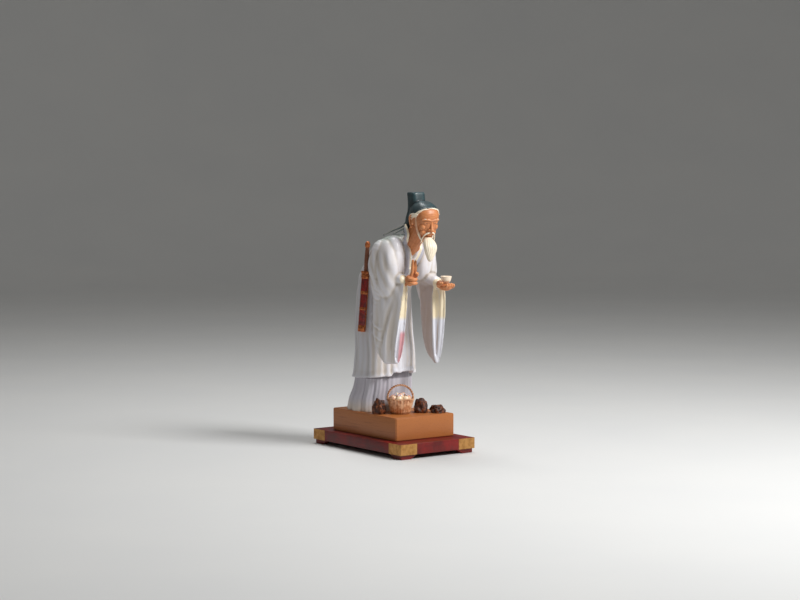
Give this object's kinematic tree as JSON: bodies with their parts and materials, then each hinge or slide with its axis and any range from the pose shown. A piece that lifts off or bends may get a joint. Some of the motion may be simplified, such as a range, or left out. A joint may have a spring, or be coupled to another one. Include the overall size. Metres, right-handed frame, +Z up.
{
  "type": "statue of an old immortal",
  "caption": "Glazed stoneware figure of a bowed, bearded immortal with cup, sword and basket, on a block and a lacquered stand.",
  "frame": {"origin": "on the ground, at the centre of the stand's footprint", "axes": "+Z up, the figure faces -Y, its left hand is at +X"},
  "size_m": [0.198, 0.324, 0.5571],
  "materials": {
    "glaze": "satin",
    "cup_glaze": "gloss",
    "scabbard": "gloss",
    "basket_clay": "satin",
    "fruit_glaze": "gloss",
    "rock_clay": "matte",
    "block_wood": "satin",
    "lacquer": "gloss",
    "brass": "satin"
  },
  "bodies": {
    "root": {"figure": "glaze", "cup": "cup_glaze", "sword": "scabbard", "basket": "basket_clay", "fruit": "fruit_glaze", "rock_near": "rock_clay", "rock_front": "rock_clay", "rock_side": "rock_clay", "block": "block_wood", "stand": "lacquer", "plate_front_right": "brass", "plate_front_left": "brass", "plate_back_right": "brass", "plate_back_left": "brass"}
  },
  "joints": []
}
